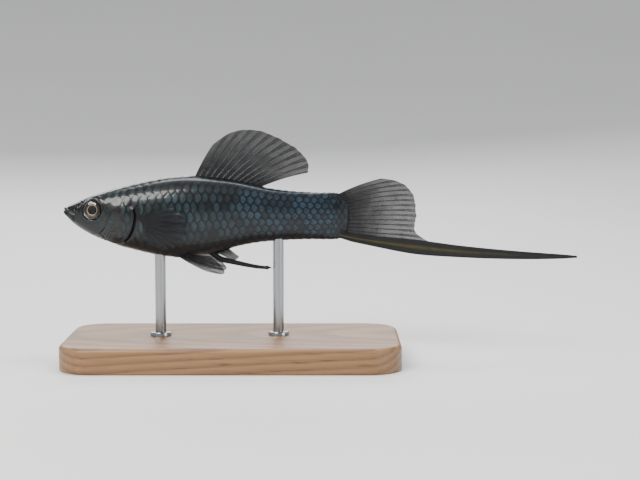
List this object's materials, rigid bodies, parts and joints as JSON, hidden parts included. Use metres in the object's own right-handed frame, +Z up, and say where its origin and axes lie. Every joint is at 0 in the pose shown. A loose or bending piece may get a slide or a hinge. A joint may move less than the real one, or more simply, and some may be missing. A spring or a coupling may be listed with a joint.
{
  "type": "black swordtail fish model",
  "caption": "Life-size still model of an adult male black swordtail fish with a raised dorsal fin, a fan tail and a long sword, held level over a flat base by two rods.",
  "frame": {"origin": "middle of the model's footprint box, on the surface that the stand is on", "axes": "the fish faces -X with its sword towards +X, its left side faces -Y, and +Z is up"},
  "size_m": [0.1404, 0.044, 0.0639],
  "materials": {
    "scaled_skin": "glossy black scales with a faint steel-blue sheen",
    "fin_membrane": "smoky black membrane over darker rays, slightly clear at the edges",
    "eye": "clear wet dome over a dark iris with a thin pale ring",
    "stand_wood": "satin oiled oak",
    "stand_steel": "fine brushed steel"
  },
  "bodies": {
    "root": {"head": "scaled_skin", "lower_jaw": "scaled_skin", "torso": "scaled_skin", "tail_stalk": "scaled_skin", "gill_cover_left": "scaled_skin", "gill_cover_right": "scaled_skin", "dorsal_fin": "fin_membrane", "caudal_fin": "fin_membrane", "caudal_sword": "fin_membrane", "gonopodium": "fin_membrane", "pectoral_fin_left": "fin_membrane", "pectoral_fin_right": "fin_membrane", "pelvic_fin_left": "fin_membrane", "pelvic_fin_right": "fin_membrane", "eye_left": "eye", "eye_right": "eye", "stand_rod_front": "stand_steel", "stand_rod_rear": "stand_steel", "stand_base": "stand_wood"}
  },
  "joints": []
}
